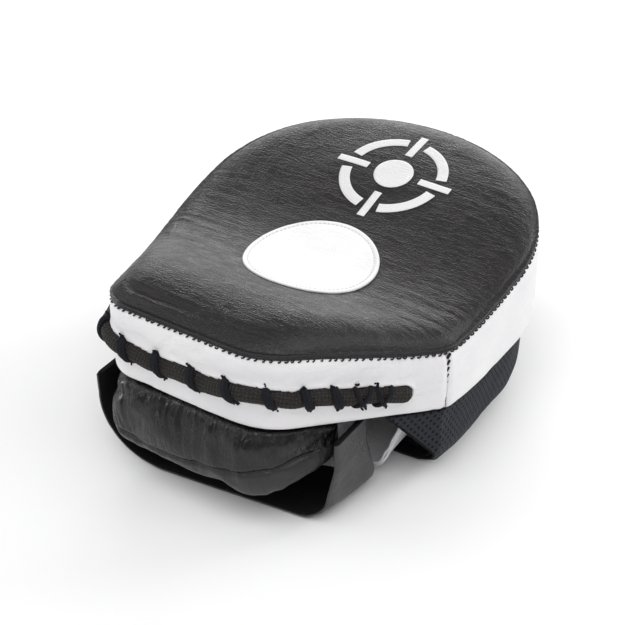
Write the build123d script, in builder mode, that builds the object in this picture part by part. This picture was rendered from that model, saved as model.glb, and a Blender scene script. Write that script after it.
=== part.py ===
from build123d import *
from math import atan2, degrees, radians, tan
import os

# A curved right-hand focus mitt, lying on its glove side with the striking face up.
# Millimetres. +X points to the thumb side, +Y to the fingertips, +Z out of the striking face.
# The origin is at the middle of the footprint, on the surface that the mitt rests on.

os.makedirs("parts", exist_ok=True)

# ---------------------------------------------------------------- driving dimensions

# plan of the pad
pad_half_width = 97.0
head_centre_y = 31.1
head_length = 86.0
head_flatness = 6.0
wrist_edge_y = -109.4
wrist_edge_right = 31.0
thumb_corner_inset = 4.0
thumb_corner_y = -36.9
little_side_radius = 250.0
little_side_turn = 20.0
wrist_corner_radius = 18.0
wrist_chamfer_radius = 36.0
thumb_corner_radius = 22.0

# heights of the pad above the surface it rests on
hand_height = 57.0
wrist_floor_lift = 8.0
tip_floor_lift = 3.0
wrist_wall_height = 45.0
dip_wall_height = 37.5
mid_wall_height = 39.5
head_wall_height = 49.0
tip_wall_height = 53.0
dip_y = -36.9
mid_y = 1.1
head_y = 61.1

# striking face above its seam
face_inset = 3.0
wrist_crown = 7.0
lobe_crown = 16.5
dip_crown = 10.5
head_crown = 9.0
tip_crown = 9.5
lobe_y = -80.9
face_edge_radius = 6.0
face_skin = 1.8
welt_size = 2.6

# target patch
patch_radius = 35.0
patch_y = -17.9
patch_skin = 1.2

# pad shell
wall_skin = 2.0
panel_skin = 2.0
back_foam_depth = 14.0

# lacing along the wrist wall
cord_diameter = 9.0
cord_height = 22.0
cord_stand = 0.8
cord_groove_clearance = 0.4
cord_start_inset = 16.0
cord_start_y = -70.9
cord_end_y = -55.9
cord_end_drop = 12.0
cord_corner_reach = 3.0
cord_middle_x = -20.0
cord_left_rise = 1.0
cord_middle_sag = 1.5
cord_right_rise = 2.0
cord_left_bend = 20.0
cord_middle_bend = 150.0
cord_right_bend = 40.0
stitch_diameter = 1.7
stitch_gap = 0.7
stitch_reach = 190.0
stitch_lean = 24.0
stitch_count = 10
stitch_first = 0.17
stitch_last = 0.943

# stitches of the two side seams
seam_stitch_width = 1.6
seam_stitch_length = 2.4
seam_stitch_pitch = 4.2
seam_stitch_count = 5
seam_stitch_stand = 0.6

# wrist cushion
cushion_inset = 2.5
cushion_depth = 34.0
cushion_gap = 1.3
cushion_right = 52.0
cushion_left_height = 24.0
cushion_middle_height = 15.0
cushion_right_height = 40.0
cushion_nose_flat = 2.0
cushion_skin = 1.6
cushion_seam_left = 31.0
cushion_seam_middle = 33.0
cushion_seam_right = 48.0
cushion_welt_size = 1.2

# palm grip
grip_radius = 30.0
grip_depth = 16.0
grip_x = -14.0
grip_y = -20.9
grip_edge_radius = 9.0
grip_skin = 1.6

# finger hood
hood_inset = 4.0
hood_skin = 2.6
hood_edge_radius = 31.0
hood_mouth_top_y = -56.9
hood_mouth_bottom_y = -20.9
hem_width = 8.0
hem_skin = 1.2

# thumb hood
thumb_hood_clearance = 0.8
thumb_hood_top_width = 50.0
thumb_hood_bottom_width = 28.0
thumb_hood_side_inset = 12.0
thumb_hood_side_slope = 18.0
thumb_hood_floor = 7.0
thumb_hood_front_y = -43.9
thumb_hood_length = 40.0
thumb_hood_radius = 11.0
thumb_hood_skin = 1.8
thumb_binding_width = 5.0
thumb_binding_skin = 1.2

# wrist strap
strap_skin = 1.5
strap_front_left_y = -103.9
strap_front_right_y = -86.9
strap_hood_gap = 2.5
strap_root_x = 60.5
strap_end_inset = 18.8
strap_root_bend = 16.0
strap_end_bend = 38.0
fold_gap = 2.2
strap_top_gap = 1.5
fastener_skin = 1.2
fastener_gap = 0.4
fastener_margin = 3.0
anchor_skin = 1.6
anchor_height = 20.0
anchor_length = 17.0

# ---------------------------------------------------------------- places worked out from them

overrun = 20.0
tip_y = head_centre_y + head_length
head_short = min(pad_half_width, head_length)
head_tight_radius = head_short - head_flatness
head_reach = max(pad_half_width, head_length) - head_tight_radius
head_broad_radius = ((head_reach ** 2 + head_short ** 2 - head_tight_radius ** 2)
                     / (2 * head_flatness))
head_side_radius = head_tight_radius
head_top_radius = head_broad_radius
head_side_turn = degrees(atan2(head_broad_radius - head_short, head_reach))
if head_length > pad_half_width:
    head_side_radius = head_broad_radius
    head_top_radius = head_tight_radius
    head_side_turn = 90 - head_side_turn
thumb_corner_x = pad_half_width - thumb_corner_inset
thumb_side_length = head_centre_y - thumb_corner_y
thumb_side_radius = (thumb_side_length ** 2 + thumb_corner_inset ** 2) / (2 * thumb_corner_inset)
thumb_side_turn = degrees(atan2(thumb_side_length, thumb_side_radius - thumb_corner_inset))
span = 2 * pad_half_width + 2 * overrun
front_y = wrist_edge_y - overrun
back_y = tip_y + overrun
ceiling = 2 * (hand_height + tip_wall_height)
panel_height = hand_height - panel_skin
wrist_height = hand_height + wrist_floor_lift
cord_radius = cord_diameter / 2
strap_thickness = 2 * strap_skin
strap_end_x = strap_end_inset - pad_half_width
strap_back_y = hood_mouth_top_y - strap_hood_gap
root_fold_x = strap_root_x - strap_root_bend
end_fold_x = strap_end_x + strap_end_bend
strap_top = panel_height - strap_top_gap
hook_x = strap_end_x + strap_thickness
loop_x = hook_x + fastener_skin + fastener_gap
anchor_x = loop_x + fastener_skin
cushion_left = anchor_x + anchor_skin + cushion_gap
cushion_nose_radius = cushion_depth / 2 - cushion_nose_flat
anchor_back_y = strap_back_y
anchor_front_y = anchor_back_y - anchor_length


def floor_points(rise=0.0):
    """Side view of the underside of the pad, as (y, z), raised by rise."""
    return [(front_y, wrist_height + rise), (wrist_edge_y, wrist_height + rise),
            (dip_y, hand_height + rise), (head_y, hand_height + rise),
            (tip_y, hand_height + tip_floor_lift + rise),
            (back_y, hand_height + tip_floor_lift + rise)]


def seam_points(rise=0.0):
    """Side view of the seam between the walls and the striking face."""
    wrist = wrist_height + wrist_wall_height + rise
    tip = hand_height + tip_floor_lift + tip_wall_height + rise
    return [(front_y, wrist), (wrist_edge_y, wrist),
            (dip_y, hand_height + dip_wall_height + rise),
            (mid_y, hand_height + mid_wall_height + rise),
            (head_y, hand_height + head_wall_height + rise), (tip_y, tip), (back_y, tip)]


def crown_points(rise=0.0):
    """Side view of the top of the striking face: wrist lobe, dip and head."""
    wrist = wrist_height + wrist_wall_height + wrist_crown + rise
    tip = hand_height + tip_floor_lift + tip_wall_height + tip_crown + rise
    return [(front_y, wrist), (wrist_edge_y, wrist),
            (lobe_y, hand_height + wrist_wall_height + lobe_crown + rise),
            (dip_y, hand_height + dip_wall_height + dip_crown + rise),
            (head_y, hand_height + head_wall_height + head_crown + rise),
            (tip_y, tip), (back_y, tip)]


def layer(low, high, view=Plane.YZ):
    """Everything between two curves of a side view, or of a front view, right through."""
    with BuildPart() as slab:
        with BuildSketch(view.offset(-span)):
            with BuildLine():
                lower = Spline(*low)
                upper = Spline(*high)
                Line(lower @ 0, upper @ 0)
                Line(lower @ 1, upper @ 1)
            make_face()
        extrude(amount=2 * span)
    return slab.part


def prism(view, points):
    """A prism right through the mitt over a closed outline of straight lines."""
    with BuildPart() as made:
        with BuildSketch(view.offset(-span)):
            with BuildLine():
                Polyline(*points, close=True)
            make_face()
        extrude(amount=2 * span)
    return made.part


def block(x, y, z):
    """A box between two limits on each axis."""
    with BuildPart() as made:
        with BuildSketch(Plane.XY.offset(z[0])):
            with Locations(((x[0] + x[1]) / 2, (y[0] + y[1]) / 2)):
                Rectangle(x[1] - x[0], y[1] - y[0])
        extrude(amount=z[1] - z[0])
    return made.part


# ---------------------------------------------------------------- plan outline of the pad


def head_arcs(inset=0.0):
    """The round head of the plan as three tangent arcs, pulled in by inset."""
    thumb_arc = JernArc((pad_half_width - inset, head_centre_y), (0, 1),
                        head_side_radius - inset, head_side_turn)
    tip_arc = JernArc(thumb_arc @ 1, thumb_arc % 1, head_top_radius - inset,
                      180 - 2 * head_side_turn)
    little_arc = JernArc(tip_arc @ 1, tip_arc % 1, head_side_radius - inset, head_side_turn)
    return thumb_arc @ 0, little_arc @ 1


with BuildSketch() as pad_plan:
    with BuildLine():
        thumb_end, little_end = head_arcs()
        little_side = JernArc(little_end, (0, -1), little_side_radius, little_side_turn)
        waist = little_side @ 1
        wrist_edge_left = waist.X + (waist.Y - wrist_edge_y) * tan(radians(little_side_turn))
        Polyline(waist, (wrist_edge_left, wrist_edge_y), (wrist_edge_right, wrist_edge_y),
                 (thumb_corner_x, thumb_corner_y))
        TangentArc(thumb_end, (thumb_corner_x, thumb_corner_y), tangent=(0, -1))
    make_face()
    for corner, corner_radius in (((wrist_edge_left, wrist_edge_y), wrist_corner_radius),
                                  ((wrist_edge_right, wrist_edge_y), wrist_chamfer_radius),
                                  ((thumb_corner_x, thumb_corner_y), thumb_corner_radius)):
        fillet(pad_plan.vertices().sort_by_distance(Vector(*corner))[0], radius=corner_radius)


def plan_prism(inset, low=-overrun, high=ceiling):
    """The plan outline, pulled in by inset, between two heights."""
    with BuildPart() as made:
        with BuildSketch(Plane.XY.offset(low)):
            add(pad_plan.sketch)
            if inset:
                offset(amount=-inset)
        extrude(amount=high - low)
    return made.part


pad_column = plan_prism(0)
skin_column = plan_prism(wall_skin)
below_panel = layer([(front_y, -overrun), (back_y, -overrun)], floor_points(-panel_skin))
wrist_half = block((-span, span), (front_y - overrun, thumb_corner_y), (-overrun, ceiling))

# ---------------------------------------------------------------- striking face


def face_form(skin):
    """The crowned face, pulled in by skin on its top and sides."""
    with BuildPart() as form:
        add(plan_prism(face_inset + skin))
        add(layer(seam_points(), crown_points(-skin)), mode=Mode.INTERSECT)
        crown = form.faces().sort_by(SortBy.AREA)[-2:].sort_by(Axis.Z)[-1]
        fillet(crown.edges(), radius=face_edge_radius - skin)
    return form.part


face_inside = face_form(face_skin)

with BuildPart() as face_cover:
    add(face_form(0))
    add(face_inside, mode=Mode.SUBTRACT)

with BuildPart() as foam_face:
    add(face_inside)

with BuildPart() as target_patch:
    with BuildSketch(Plane.XY):
        with Locations((0, patch_y)):
            Circle(patch_radius)
    extrude(amount=ceiling)
    add(layer(crown_points(), crown_points(patch_skin)), mode=Mode.INTERSECT)

with BuildPart() as face_welt:
    add(pad_column)
    add(plan_prism(face_inset), mode=Mode.SUBTRACT)
    add(layer(seam_points(), seam_points(welt_size)), mode=Mode.INTERSECT)

# ---------------------------------------------------------------- lacing along the wrist wall

cord_level = wrist_height + cord_height
chamfer_slope = (thumb_corner_x - wrist_edge_right) / (thumb_corner_y - wrist_edge_y)
cord_y = wrist_edge_y - cord_stand
cord_end_x = wrist_edge_right + (cord_end_y - cord_y) * chamfer_slope
cord_points = [(wrist_edge_left - cord_start_inset, cord_start_y, cord_level),
               (wrist_edge_left - cord_corner_reach, cord_y, cord_level + cord_left_rise),
               (cord_middle_x, cord_y, cord_level - cord_middle_sag),
               (wrist_edge_right, cord_y, cord_level + cord_right_rise),
               (cord_end_x, cord_end_y, cord_level - cord_end_drop)]
cord_radii = [cord_left_bend, cord_middle_bend, cord_right_bend]

with BuildLine() as cord_route:
    FilletPolyline(*cord_points, radius=cord_radii)


def cord_tube(radius):
    """A round tube along the lacing cord's route, with domed ends."""
    path = cord_route.wire()
    with BuildPart() as made:
        for run in path.edges():
            with BuildSketch(Plane(origin=run @ 0, z_dir=run % 0)):
                Circle(radius)
            sweep(path=run)
        with Locations(path @ 0, path @ 1):
            Sphere(radius)
    return made.part


cord_groove = cord_tube(cord_radius + cord_groove_clearance)

with BuildPart() as lacing_cord:
    add(cord_tube(cord_radius))


def stitch(along, lean):
    """One loop of lacing thread over the cord, along its route from 0 to 1."""
    heading = cord_route.wire() % along
    outward = Vector(heading.Y, -heading.X, 0).normalized()
    leaning = heading.rotate(Axis((0, 0, 0), outward), lean)
    ring_radius = cord_radius + stitch_gap + stitch_diameter / 2
    with BuildPart() as made:
        with BuildLine(Plane(cord_route.wire() @ along, x_dir=outward, z_dir=leaning)) as loop:
            CenterArc((0, 0), ring_radius, -stitch_reach / 2, stitch_reach)
        arc = loop.wire()
        with BuildSketch(Plane(origin=arc @ 0, z_dir=arc % 0)):
            Circle(stitch_diameter / 2)
        sweep(path=arc)
    return made.part


with BuildPart() as lacing_stitches:
    for index in range(stitch_count):
        side = -1 if index == stitch_count - 1 else 1
        place = stitch_first + (stitch_last - stitch_first) * index / (stitch_count - 1)
        add(stitch(place, side * stitch_lean))
    add(pad_column, mode=Mode.SUBTRACT)

# ---------------------------------------------------------------- walls, foams and back panel

wall_band = layer(floor_points(), seam_points())

with BuildPart() as wrist_wall:
    add(pad_column)
    add(skin_column, mode=Mode.SUBTRACT)
    add(wall_band, mode=Mode.INTERSECT)
    add(wrist_half, mode=Mode.INTERSECT)
    add(cord_groove, mode=Mode.SUBTRACT)

with BuildPart() as head_wall:
    add(pad_column)
    add(skin_column, mode=Mode.SUBTRACT)
    add(wall_band, mode=Mode.INTERSECT)
    add(wrist_half, mode=Mode.SUBTRACT)

stitch_top = hand_height + dip_wall_height - seam_stitch_pitch
with BuildPart() as side_seam_stitches:
    for index in range(seam_stitch_count):
        high = stitch_top - index * seam_stitch_pitch
        add(block((-span, span),
                  (thumb_corner_y - seam_stitch_width / 2, thumb_corner_y + seam_stitch_width / 2),
                  (high - seam_stitch_length, high)))
    add(plan_prism(-seam_stitch_stand), mode=Mode.INTERSECT)
    add(pad_column, mode=Mode.SUBTRACT)

with BuildPart() as foam_core:
    add(skin_column)
    add(layer(floor_points(back_foam_depth), seam_points()), mode=Mode.INTERSECT)
    add(cord_groove, mode=Mode.SUBTRACT)

with BuildPart() as foam_back:
    add(skin_column)
    add(layer(floor_points(), floor_points(back_foam_depth)), mode=Mode.INTERSECT)
    add(cord_groove, mode=Mode.SUBTRACT)

with BuildPart() as back_panel:
    add(skin_column)
    add(layer(floor_points(-panel_skin), floor_points()), mode=Mode.INTERSECT)

with BuildPart() as back_welt:
    add(pad_column)
    add(skin_column, mode=Mode.SUBTRACT)
    add(layer(floor_points(-panel_skin), floor_points()), mode=Mode.INTERSECT)

# ---------------------------------------------------------------- wrist cushion


def cushion_curve(left, middle, right, rise=0.0):
    """A front-view curve across the cushion, as (x, z)."""
    centre = (cushion_left + cushion_right) / 2
    return [(cushion_left - overrun, left + rise), (cushion_left, left + rise),
            (centre, middle + rise), (cushion_right, right + rise),
            (cushion_right + overrun, right + overrun + rise)]


def cushion_form(skin):
    """The wrist cushion, pulled in by skin all round except at its top."""
    bottom = cushion_curve(cushion_left_height, cushion_middle_height, cushion_right_height, skin)
    top = [(cushion_left - overrun, ceiling), (cushion_right + overrun, ceiling)]
    depth = cushion_depth - 2 * skin
    with BuildPart() as form:
        with BuildSketch(Plane.YZ.offset(-span)) as nose:
            with Locations((wrist_edge_y + cushion_inset + cushion_depth / 2,
                            cushion_middle_height + skin + ceiling / 2)):
                Rectangle(depth, ceiling)
            fillet(nose.vertices().group_by(Axis.Y)[0], radius=cushion_nose_radius - skin)
        extrude(amount=2 * span)
        add(plan_prism(cushion_inset + skin), mode=Mode.INTERSECT)
        add(layer(bottom, top, Plane.XZ), mode=Mode.INTERSECT)
        add(block((cushion_left + skin, cushion_right - skin), (front_y, back_y), (0, ceiling)),
            mode=Mode.INTERSECT)
        add(below_panel, mode=Mode.INTERSECT)
    return form.part


def cushion_seam(rise):
    """Front view of the seam between the cushion's two panels."""
    return cushion_curve(cushion_seam_left, cushion_seam_middle, cushion_seam_right, rise)


cushion_core = cushion_form(cushion_skin)
cushion_outside = cushion_form(0)

with BuildPart() as cushion_upper:
    add(cushion_outside)
    add(cushion_core, mode=Mode.SUBTRACT)
    add(layer(cushion_seam(0), cushion_seam(ceiling), Plane.XZ), mode=Mode.INTERSECT)

with BuildPart() as cushion_lower:
    add(cushion_outside)
    add(cushion_core, mode=Mode.SUBTRACT)
    add(layer(cushion_seam(-ceiling), cushion_seam(0), Plane.XZ), mode=Mode.INTERSECT)

with BuildPart() as cushion_foam:
    add(cushion_core)

with BuildPart() as cushion_welt:
    add(cushion_form(-cushion_welt_size))
    add(cushion_outside, mode=Mode.SUBTRACT)
    add(layer(cushion_seam(-cushion_welt_size), cushion_seam(cushion_welt_size), Plane.XZ),
        mode=Mode.INTERSECT)

# ---------------------------------------------------------------- palm grip


def grip_form(skin):
    """The dome under the palm, pulled in by skin on its side and bottom."""
    with BuildPart() as form:
        with BuildSketch(Plane.XY.offset(panel_height - grip_depth + skin)):
            with Locations((grip_x, grip_y)):
                Circle(grip_radius - skin)
        extrude(amount=ceiling)
        fillet(form.edges().sort_by(Axis.Z)[0], radius=grip_edge_radius - skin)
        add(below_panel, mode=Mode.INTERSECT)
    return form.part


with BuildPart() as palm_grip_cover:
    add(grip_form(0))
    add(grip_form(grip_skin), mode=Mode.SUBTRACT)

with BuildPart() as palm_grip_foam:
    add(grip_form(grip_skin))

# ---------------------------------------------------------------- finger hood


def behind_mouth(back):
    """Everything behind the hood's slanting mouth, moved back by a distance."""
    run = (hood_mouth_bottom_y - hood_mouth_top_y) / hand_height
    return prism(Plane.YZ, [(hood_mouth_bottom_y + run * overrun + back, -overrun),
                            (hood_mouth_bottom_y - run * ceiling + back, ceiling),
                            (back_y, ceiling), (back_y, -overrun)])


def inside_chamfer(inset):
    """Everything on the palm side of the pad's cut-away thumb corner, pulled in by inset."""
    start = Vector(wrist_edge_right, wrist_edge_y)
    along = (Vector(thumb_corner_x, thumb_corner_y) - start).normalized()
    start += Vector(-along.Y, along.X) * inset
    low = start - along * 2 * span
    high = start + along * 2 * span
    return prism(Plane.XY, [(low.X, low.Y), (high.X, high.Y), (low.X, high.Y)])


def hood_form(skin):
    """The finger hood as a filled bowl, pulled in by skin."""
    inset = hood_inset + skin
    with BuildPart() as form:
        with BuildSketch(Plane.XY.offset(skin)):
            with BuildLine():
                thumb_end, little_end = head_arcs(inset)
                little = JernArc(little_end, (0, -1), little_side_radius - inset, little_side_turn)
                thumb = JernArc(thumb_end, (0, -1), thumb_side_radius - inset, -thumb_side_turn)
                Polyline(little @ 1, little @ 1 + (little % 1) * hand_height,
                         thumb @ 1 + (thumb % 1) * hand_height, thumb @ 1)
            make_face()
        extrude(amount=ceiling)
        rim = form.faces().sort_by(Axis.Z)[0].edges().sort_by(Axis.Y)[1:]
        fillet(rim, radius=hood_edge_radius - skin)
        add(inside_chamfer(inset), mode=Mode.INTERSECT)
        add(below_panel, mode=Mode.INTERSECT)
        add(behind_mouth(0), mode=Mode.INTERSECT)
    return form.part


hood_inside = hood_form(hood_skin)

with BuildPart() as finger_hood:
    add(hood_form(0))
    add(hood_inside, mode=Mode.SUBTRACT)

with BuildPart() as finger_hood_hem:
    add(hood_inside)
    add(hood_form(hood_skin + hem_skin), mode=Mode.SUBTRACT)
    add(behind_mouth(hem_width), mode=Mode.SUBTRACT)

# ---------------------------------------------------------------- thumb hood

thumb_hood_fit = hood_inset + hood_skin + hem_skin + thumb_binding_skin + thumb_hood_clearance
thumb_side_x = pad_half_width - thumb_hood_fit - thumb_hood_side_inset


def thumb_form(skin, front=thumb_hood_front_y, back=thumb_hood_front_y + thumb_hood_length):
    """The thumb hood as a filled pouch, pulled in by skin, between two places along Y."""
    low_x = thumb_side_x - thumb_hood_side_slope
    left_x = thumb_side_x - thumb_hood_top_width
    high = panel_height + overrun
    with BuildPart() as form:
        with BuildSketch(Plane.XZ.offset(-front)) as outline:
            with BuildLine():
                Polyline((thumb_side_x, high), (thumb_side_x, panel_height),
                         (low_x, thumb_hood_floor), (low_x - thumb_hood_bottom_width, thumb_hood_floor),
                         (left_x, panel_height), (left_x, high), close=True)
            make_face()
            fillet(outline.vertices().group_by(Axis.Y)[0], radius=thumb_hood_radius)
            if skin:
                offset(amount=-skin)
        extrude(amount=front - back)
        add(plan_prism(thumb_hood_fit + skin), mode=Mode.INTERSECT)
        add(below_panel, mode=Mode.INTERSECT)
    return form.part


thumb_hood_back_y = thumb_hood_front_y + thumb_hood_length
thumb_binding_back_y = thumb_hood_front_y + thumb_binding_width

with BuildPart() as thumb_hood:
    add(thumb_form(0))
    add(thumb_form(thumb_hood_skin, back=thumb_hood_back_y - thumb_hood_skin), mode=Mode.SUBTRACT)

with BuildPart() as thumb_hood_binding:
    add(thumb_form(-thumb_binding_skin, back=thumb_binding_back_y))
    add(thumb_form(0), mode=Mode.SUBTRACT)

# ---------------------------------------------------------------- wrist strap


def strap_loop(depth):
    """Everything inside the strap loop at a depth below its outer surface."""
    with BuildPart() as loop:
        with BuildSketch(Plane.XZ.offset(-span)) as outline:
            with BuildLine():
                Polyline((strap_end_x + depth, ceiling), (strap_end_x + depth, depth),
                         (strap_root_x - depth, depth), (strap_root_x - depth, ceiling), close=True)
            make_face()
            corners = outline.vertices().group_by(Axis.Y)[0].sort_by(Axis.X)
            fillet(corners[0], radius=strap_end_bend - depth)
            corners = outline.vertices().group_by(Axis.Y)[0].sort_by(Axis.X)
            fillet(corners[-1], radius=strap_root_bend - depth)
        extrude(amount=2 * span)
    return loop.part


strap_width = prism(Plane.XY, [(strap_end_x - overrun, strap_front_left_y),
                               (strap_end_x, strap_front_left_y),
                               (strap_root_x, strap_front_right_y),
                               (strap_root_x + overrun, strap_front_right_y),
                               (strap_root_x + overrun, strap_back_y),
                               (strap_end_x - overrun, strap_back_y)])
strap_parts = {
    "root": block((root_fold_x + fold_gap, span), (front_y, back_y), (-overrun, ceiling)),
    "middle": block((end_fold_x, root_fold_x), (front_y, back_y), (-overrun, ceiling)),
    "end": block((-span, end_fold_x - fold_gap), (front_y, back_y), (-overrun, strap_top)),
}


def strap_piece(part, depth):
    """One layer of one part of the strap."""
    with BuildPart() as piece:
        add(strap_loop(depth))
        add(strap_loop(depth + strap_skin), mode=Mode.SUBTRACT)
        add(strap_width, mode=Mode.INTERSECT)
        add(strap_parts[part], mode=Mode.INTERSECT)
        add(below_panel, mode=Mode.INTERSECT)
    return piece


strap_root_outer = strap_piece("root", 0)
strap_root_lining = strap_piece("root", strap_skin)
strap_outer = strap_piece("middle", 0)
strap_lining = strap_piece("middle", strap_skin)
strap_end_outer = strap_piece("end", 0)
strap_end_lining = strap_piece("end", strap_skin)

fastener_y = (anchor_front_y + fastener_margin, anchor_back_y - fastener_margin)
fastener_z = (panel_height - anchor_height + fastener_margin, strap_top - fastener_margin)

with BuildPart() as hook_patch:
    add(block((hook_x, hook_x + fastener_skin), fastener_y, fastener_z))

with BuildPart() as loop_patch:
    add(block((loop_x, anchor_x), fastener_y, fastener_z))

with BuildPart() as strap_anchor:
    add(block((anchor_x, anchor_x + anchor_skin), (anchor_front_y, anchor_back_y),
              (panel_height - anchor_height, ceiling)))
    add(below_panel, mode=Mode.INTERSECT)

# ---------------------------------------------------------------- files

pieces = {
    "face_cover": face_cover, "face_welt": face_welt, "target_patch": target_patch,
    "foam_face": foam_face, "wrist_wall": wrist_wall, "head_wall": head_wall,
    "side_seam_stitches": side_seam_stitches, "lacing_cord": lacing_cord,
    "lacing_stitches": lacing_stitches, "foam_core": foam_core, "foam_back": foam_back,
    "back_panel": back_panel, "back_welt": back_welt, "cushion_upper": cushion_upper,
    "cushion_lower": cushion_lower, "cushion_foam": cushion_foam, "cushion_welt": cushion_welt,
    "palm_grip_cover": palm_grip_cover, "palm_grip_foam": palm_grip_foam,
    "finger_hood": finger_hood, "finger_hood_hem": finger_hood_hem, "thumb_hood": thumb_hood,
    "thumb_hood_binding": thumb_hood_binding, "strap_root_outer": strap_root_outer,
    "strap_root_lining": strap_root_lining, "strap_outer": strap_outer,
    "strap_lining": strap_lining, "strap_end_outer": strap_end_outer,
    "strap_end_lining": strap_end_lining, "hook_patch": hook_patch, "loop_patch": loop_patch,
    "strap_anchor": strap_anchor,
}

for name, piece in pieces.items():
    piece.part.label = name
    export_step(piece.part, f"parts/{name}.step")
    print(name, len(piece.part.solids()), piece.part.is_valid, round(piece.part.volume))
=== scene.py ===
import bmesh
import bpy
import math

import numpy as np
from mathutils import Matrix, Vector, kdtree, noise
from mathutils.bvhtree import BVHTree


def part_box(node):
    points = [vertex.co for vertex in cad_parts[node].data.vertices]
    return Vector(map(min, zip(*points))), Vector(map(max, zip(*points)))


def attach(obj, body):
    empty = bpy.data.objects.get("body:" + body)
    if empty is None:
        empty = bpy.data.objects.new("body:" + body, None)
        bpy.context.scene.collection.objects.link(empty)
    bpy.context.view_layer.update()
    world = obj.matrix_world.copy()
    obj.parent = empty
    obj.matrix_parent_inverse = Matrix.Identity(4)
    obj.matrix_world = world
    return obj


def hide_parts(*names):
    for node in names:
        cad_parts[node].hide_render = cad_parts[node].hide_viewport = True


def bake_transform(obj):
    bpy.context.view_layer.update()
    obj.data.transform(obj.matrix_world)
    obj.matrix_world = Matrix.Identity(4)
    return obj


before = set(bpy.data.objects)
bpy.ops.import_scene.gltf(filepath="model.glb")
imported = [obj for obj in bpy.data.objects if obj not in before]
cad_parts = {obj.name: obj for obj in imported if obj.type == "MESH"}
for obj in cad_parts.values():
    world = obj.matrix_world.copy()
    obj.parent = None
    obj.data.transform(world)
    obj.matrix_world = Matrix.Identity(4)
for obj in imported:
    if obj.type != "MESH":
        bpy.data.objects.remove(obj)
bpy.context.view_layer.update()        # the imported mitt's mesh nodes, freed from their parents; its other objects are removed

# A curved focus mitt lying on its glove side. +X is the thumb side, +Y the fingertips and
# +Z the way the striking face looks. Lengths are in metres, and MM turns millimetres into them.

MM = 0.001
rng = np.random.default_rng(11)
SKY = 0.3              # above the mitt: where rays pointing down start

# ---------------------------------------------------------------- materials


FULL_TURN = 6.2832


class Paint:
    """A node material with a Principled shader, built up by calls."""

    def __init__(self, name):
        self.material = bpy.data.materials.new(name)
        self.material.use_nodes = True
        self.tree = self.material.node_tree
        self.tree.nodes.clear()
        self.shader = self.node("ShaderNodeBsdfPrincipled")
        self.out = self.node("ShaderNodeOutputMaterial")
        self.link(self.shader, "BSDF", self.out, "Surface")
        self.normal = None

    def node(self, kind, values=None, **attributes):
        made = self.tree.nodes.new(kind)
        for key, value in attributes.items():
            setattr(made, key, value)
        for key, value in (values or {}).items():
            made.inputs[key].default_value = value
        return made

    def link(self, a, output, b, target):
        self.tree.links.new(a.outputs[output], b.inputs[target])

    def feed(self, source, socket):
        """Joins an output, given as (node, name), to an input socket."""
        self.tree.links.new(source[0].outputs[source[1]], socket)

    def place(self, scale=(1, 1, 1), turn=(0, 0, 0)):
        """Object coordinates, stretched and turned."""
        source = self.node("ShaderNodeTexCoord")
        mapping = self.node("ShaderNodeMapping", {"Scale": scale, "Rotation": turn})
        self.link(source, "Object", mapping, "Vector")
        return mapping

    def weave(self):
        """The two places stored on a woven piece, as outputs."""
        source = self.node("ShaderNodeAttribute", attribute_name="weave")
        split = self.node("ShaderNodeSeparateXYZ")
        self.link(source, "Vector", split, "Vector")
        return (split, "X"), (split, "Y")

    def noise(self, scale, detail=3.0, roughness=0.55, distortion=0.0, stretch=(1, 1, 1),
              turn=(0, 0, 0)):
        made = self.node("ShaderNodeTexNoise", {"Scale": scale, "Detail": detail,
                                                "Roughness": roughness, "Distortion": distortion})
        self.link(self.place(stretch, turn), "Vector", made, "Vector")
        return made, "Fac"

    def voronoi(self, scale, feature):
        made = self.node("ShaderNodeTexVoronoi", {"Scale": scale, "Randomness": 1.0},
                         feature=feature)
        self.link(self.place(), "Vector", made, "Vector")
        return made, "Distance"

    def math(self, operation, a, b=None):
        made = self.node("ShaderNodeMath", operation=operation)
        for index, value in enumerate((a, b)):
            if isinstance(value, tuple):
                self.feed(value, made.inputs[index])
            elif value is not None:
                made.inputs[index].default_value = value
        return made, "Value"

    def remap(self, source, low, high, to_low=0.0, to_high=1.0):
        made = self.node("ShaderNodeMapRange", {"From Min": low, "From Max": high,
                                                "To Min": to_low, "To Max": to_high})
        self.link(source[0], source[1], made, "Value")
        return made, "Result"

    def mix(self, source, a, b):
        """Two colours mixed by a value. A colour may be a tuple of numbers or an output."""
        made = self.node("ShaderNodeMix", data_type="RGBA")
        self.feed(source, made.inputs[0])
        for index, value in ((6, a), (7, b)):
            if len(value) == 2:
                self.feed(value, made.inputs[index])
            else:
                made.inputs[index].default_value = (*value, 1.0)
        return made, 2

    def colour(self, source):
        self.feed(source, self.shader.inputs["Base Color"])

    def rough(self, source):
        self.feed(source, self.shader.inputs["Roughness"])

    def bump(self, source, distance, strength=1.0):
        made = self.node("ShaderNodeBump", {"Strength": strength, "Distance": distance})
        self.feed(source, made.inputs["Height"])
        if self.normal:
            self.feed((self.normal, "Normal"), made.inputs["Normal"])
        self.normal = made
        return self

    def finish(self, **values):
        if self.normal:
            self.feed((self.normal, "Normal"), self.shader.inputs["Normal"])
        for key, value in values.items():
            self.shader.inputs[key.replace("_", " ")].default_value = value
        return self.material


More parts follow.
